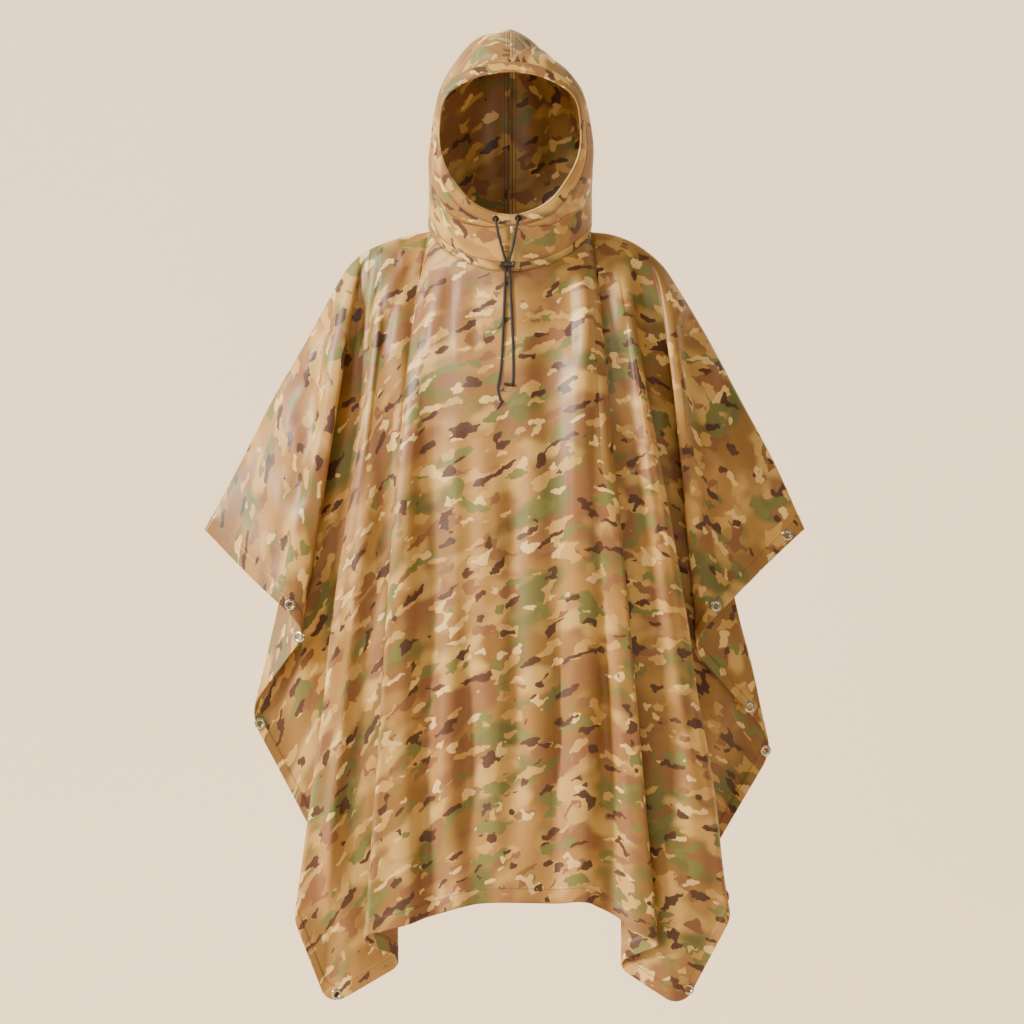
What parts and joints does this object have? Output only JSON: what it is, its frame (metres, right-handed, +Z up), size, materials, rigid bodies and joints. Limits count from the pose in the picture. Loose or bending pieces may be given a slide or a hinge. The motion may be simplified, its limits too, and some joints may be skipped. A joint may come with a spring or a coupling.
{
  "type": "rain poncho",
  "caption": "Hooded rain poncho in its hollow worn form, with folded sides, ring eyelets in the hem and a drawcord with a lock at the face.",
  "frame": {"origin": "middle of the neck on the shoulder line, between the front and back panels, where the wearer's shoulders hold it", "axes": "+Z up, the front faces -Y, +X towards the wearer's left arm"},
  "size_m": [0.9317, 0.3125, 1.4943],
  "materials": {
    "cloth": "coated nylon with a soft satin sheen in a blotched tan, khaki, olive and brown print",
    "binding": "the same coated nylon, turned and stitched",
    "cord": "braided polyester cord, black",
    "lock": "moulded acetal, black",
    "eyelet": "nickel-plated brass with a dark rim"
  },
  "bodies": {
    "root": {"front_panel": "cloth", "back_panel": "cloth", "hood_left": "cloth", "hood_right": "cloth", "face_tunnel": "binding", "neck_band": "binding", "cord_eyelet_left": "eyelet", "cord_eyelet_right": "eyelet", "drawcord_left": "cord", "drawcord_right": "cord", "knot_left": "cord", "knot_right": "cord", "cord_lock": "lock", "ring_eyelet_1": "eyelet", "ring_eyelet_2": "eyelet", "ring_eyelet_3": "eyelet", "ring_eyelet_4": "eyelet", "ring_eyelet_5": "eyelet", "ring_eyelet_6": "eyelet", "ring_eyelet_7": "eyelet", "ring_eyelet_8": "eyelet", "ring_eyelet_9": "eyelet", "ring_eyelet_10": "eyelet", "ring_eyelet_11": "eyelet", "ring_eyelet_12": "eyelet", "ring_eyelet_13": "eyelet", "ring_eyelet_14": "eyelet", "ring_eyelet_15": "eyelet", "ring_eyelet_16": "eyelet"}
  },
  "joints": []
}
